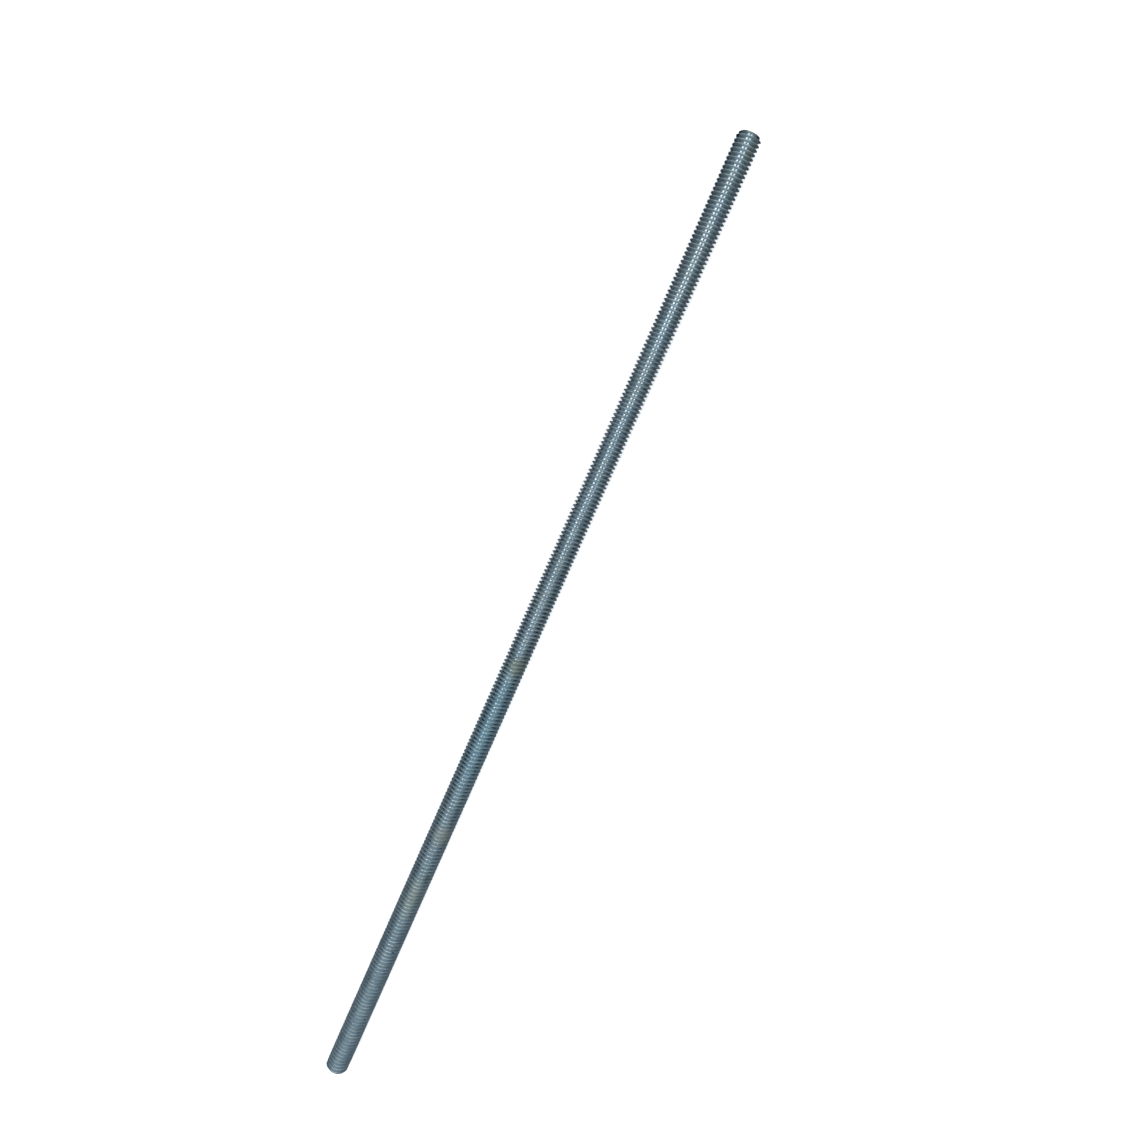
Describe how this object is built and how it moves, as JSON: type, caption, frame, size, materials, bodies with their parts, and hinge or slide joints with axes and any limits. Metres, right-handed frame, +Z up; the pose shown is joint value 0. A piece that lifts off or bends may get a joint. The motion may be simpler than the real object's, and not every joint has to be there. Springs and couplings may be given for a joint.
{
  "type": "threaded rod",
  "caption": "Straight rod threaded over its whole length with a right-hand metric coarse thread and chamfered at both ends, for nuts and tapped holes.",
  "frame": {"origin": "middle of the rod, on its axis", "axes": "+X along the rod's axis, +Z up as the rod lies"},
  "size_m": [0.25, 0.0058, 0.0058],
  "materials": {
    "zinc_plate": "satin"
  },
  "bodies": {
    "root": {"rod": "zinc_plate"}
  },
  "joints": []
}
